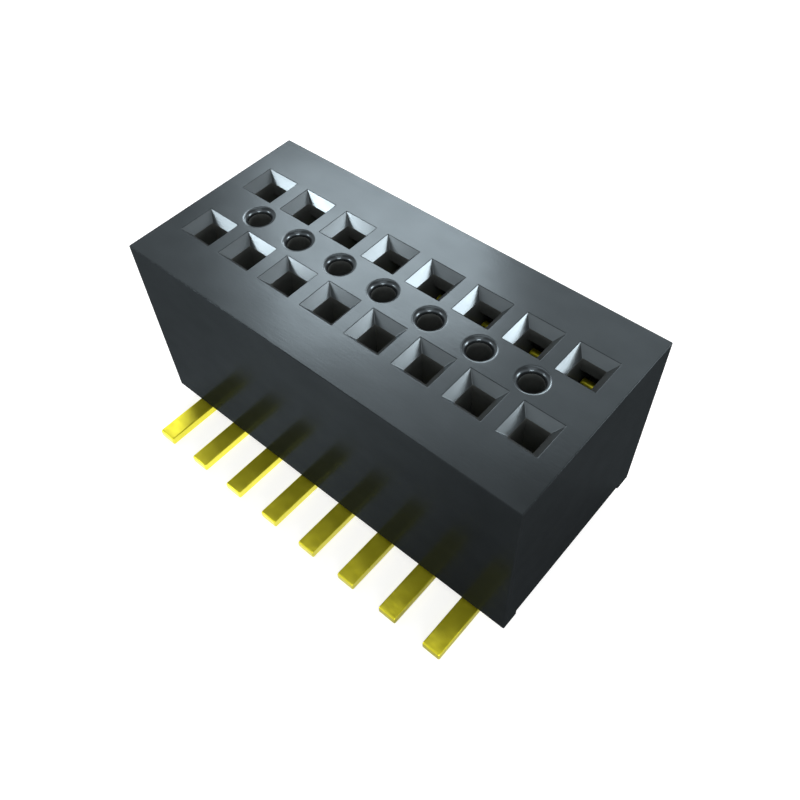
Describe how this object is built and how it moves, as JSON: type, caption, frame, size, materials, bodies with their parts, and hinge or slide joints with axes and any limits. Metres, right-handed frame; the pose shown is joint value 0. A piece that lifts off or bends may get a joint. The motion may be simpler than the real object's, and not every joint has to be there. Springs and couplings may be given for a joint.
{
  "type": "surface-mount pcb socket",
  "caption": "Low double-row board socket: black moulded block with square pin entries on top and flat gold solder tails along both long sides.",
  "frame": {"origin": "centre of the footprint on the board's surface: the plane of the solder tails' undersides, midway between the rows and between the ends", "axes": "+X along the rows, towards column 8; +Z away from the board, towards the mating board; -Y towards the front row"},
  "size_m": [0.0068, 0.0048, 0.0033],
  "materials": {
    "housing_plastic": "black glass-filled moulded plastic, satin, with a thin even sheen; lead-ins and hole rims shinier",
    "contact_metal": "copper alloy strip, gold plated, bright"
  },
  "bodies": {
    "root": {"housing": "housing_plastic", "contact_front_1": "contact_metal", "contact_front_2": "contact_metal", "contact_front_3": "contact_metal", "contact_front_4": "contact_metal", "contact_front_5": "contact_metal", "contact_front_6": "contact_metal", "contact_front_7": "contact_metal", "contact_front_8": "contact_metal", "contact_back_1": "contact_metal", "contact_back_2": "contact_metal", "contact_back_3": "contact_metal", "contact_back_4": "contact_metal", "contact_back_5": "contact_metal", "contact_back_6": "contact_metal", "contact_back_7": "contact_metal", "contact_back_8": "contact_metal"}
  },
  "joints": []
}
